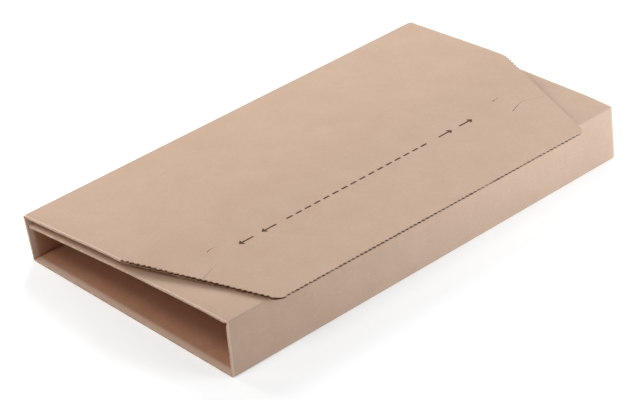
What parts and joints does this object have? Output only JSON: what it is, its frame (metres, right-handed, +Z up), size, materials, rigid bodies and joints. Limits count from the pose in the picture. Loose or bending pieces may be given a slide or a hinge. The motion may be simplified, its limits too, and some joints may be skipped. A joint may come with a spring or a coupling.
{
  "type": "book wrap mailer",
  "caption": "Flat brown corrugated board sleeve, open at both ends, wound round a book and closed by a wide sealed flap with cut-away corners and tear-open tabs.",
  "frame": {"origin": "on the surface that the mailer lies on, under the middle of its bounding box", "axes": "+X along the tube, from one open end to the other; +Y from the front wall, where the flap ends, to the back wall; +Z up"},
  "size_m": [0.31, 0.1636, 0.0346],
  "materials": {
    "brown_board": "uncoated brown kraft liner, matt",
    "seal_glue": "pressure-sensitive hot-melt strip, satin",
    "tear_film": "thin clear film tape, glossy"
  },
  "bodies": {
    "root": {"mailer_wrap": "brown_board", "seal_strip": "seal_glue", "tear_tape": "tear_film"}
  },
  "joints": []
}
